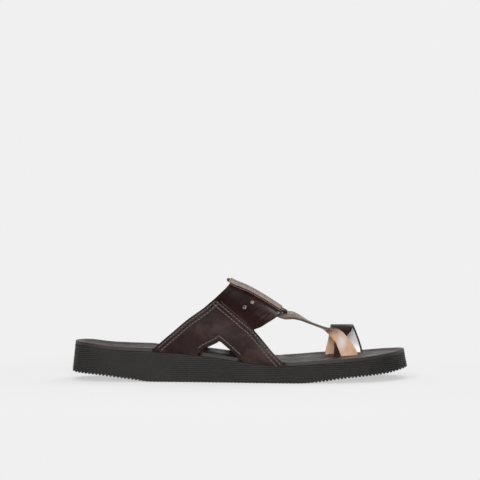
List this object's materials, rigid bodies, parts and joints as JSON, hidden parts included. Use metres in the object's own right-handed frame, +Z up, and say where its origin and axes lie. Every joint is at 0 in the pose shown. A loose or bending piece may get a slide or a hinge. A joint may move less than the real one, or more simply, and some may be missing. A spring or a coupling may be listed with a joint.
{
  "type": "toe ring sandal",
  "caption": "Right leather slide sandal on a ribbed rubber wedge: buckled instep strap on A-shaped side panels, a toe strap between the toes and a ring for the big toe",
  "frame": {"origin": "middle of the bounding box in plan, on the ground under the sole", "axes": "+X from heel to toe, +Y to the inner side with the big toe, +Z up"},
  "size_m": [0.2898, 0.1003, 0.087],
  "materials": {
    "rubber": "matte, ribbed",
    "footbed": "smooth, half gloss",
    "strap_leather": "waxed, glossy grain",
    "buckle": "dark gunmetal",
    "rivets": "dull steel"
  },
  "bodies": {
    "root": {"outsole": "rubber", "insole": "footbed", "upper": "strap_leather", "buckle_frame": "buckle", "buckle_pin": "buckle", "rivet_rear": "rivets", "rivet_front": "rivets"}
  },
  "joints": []
}
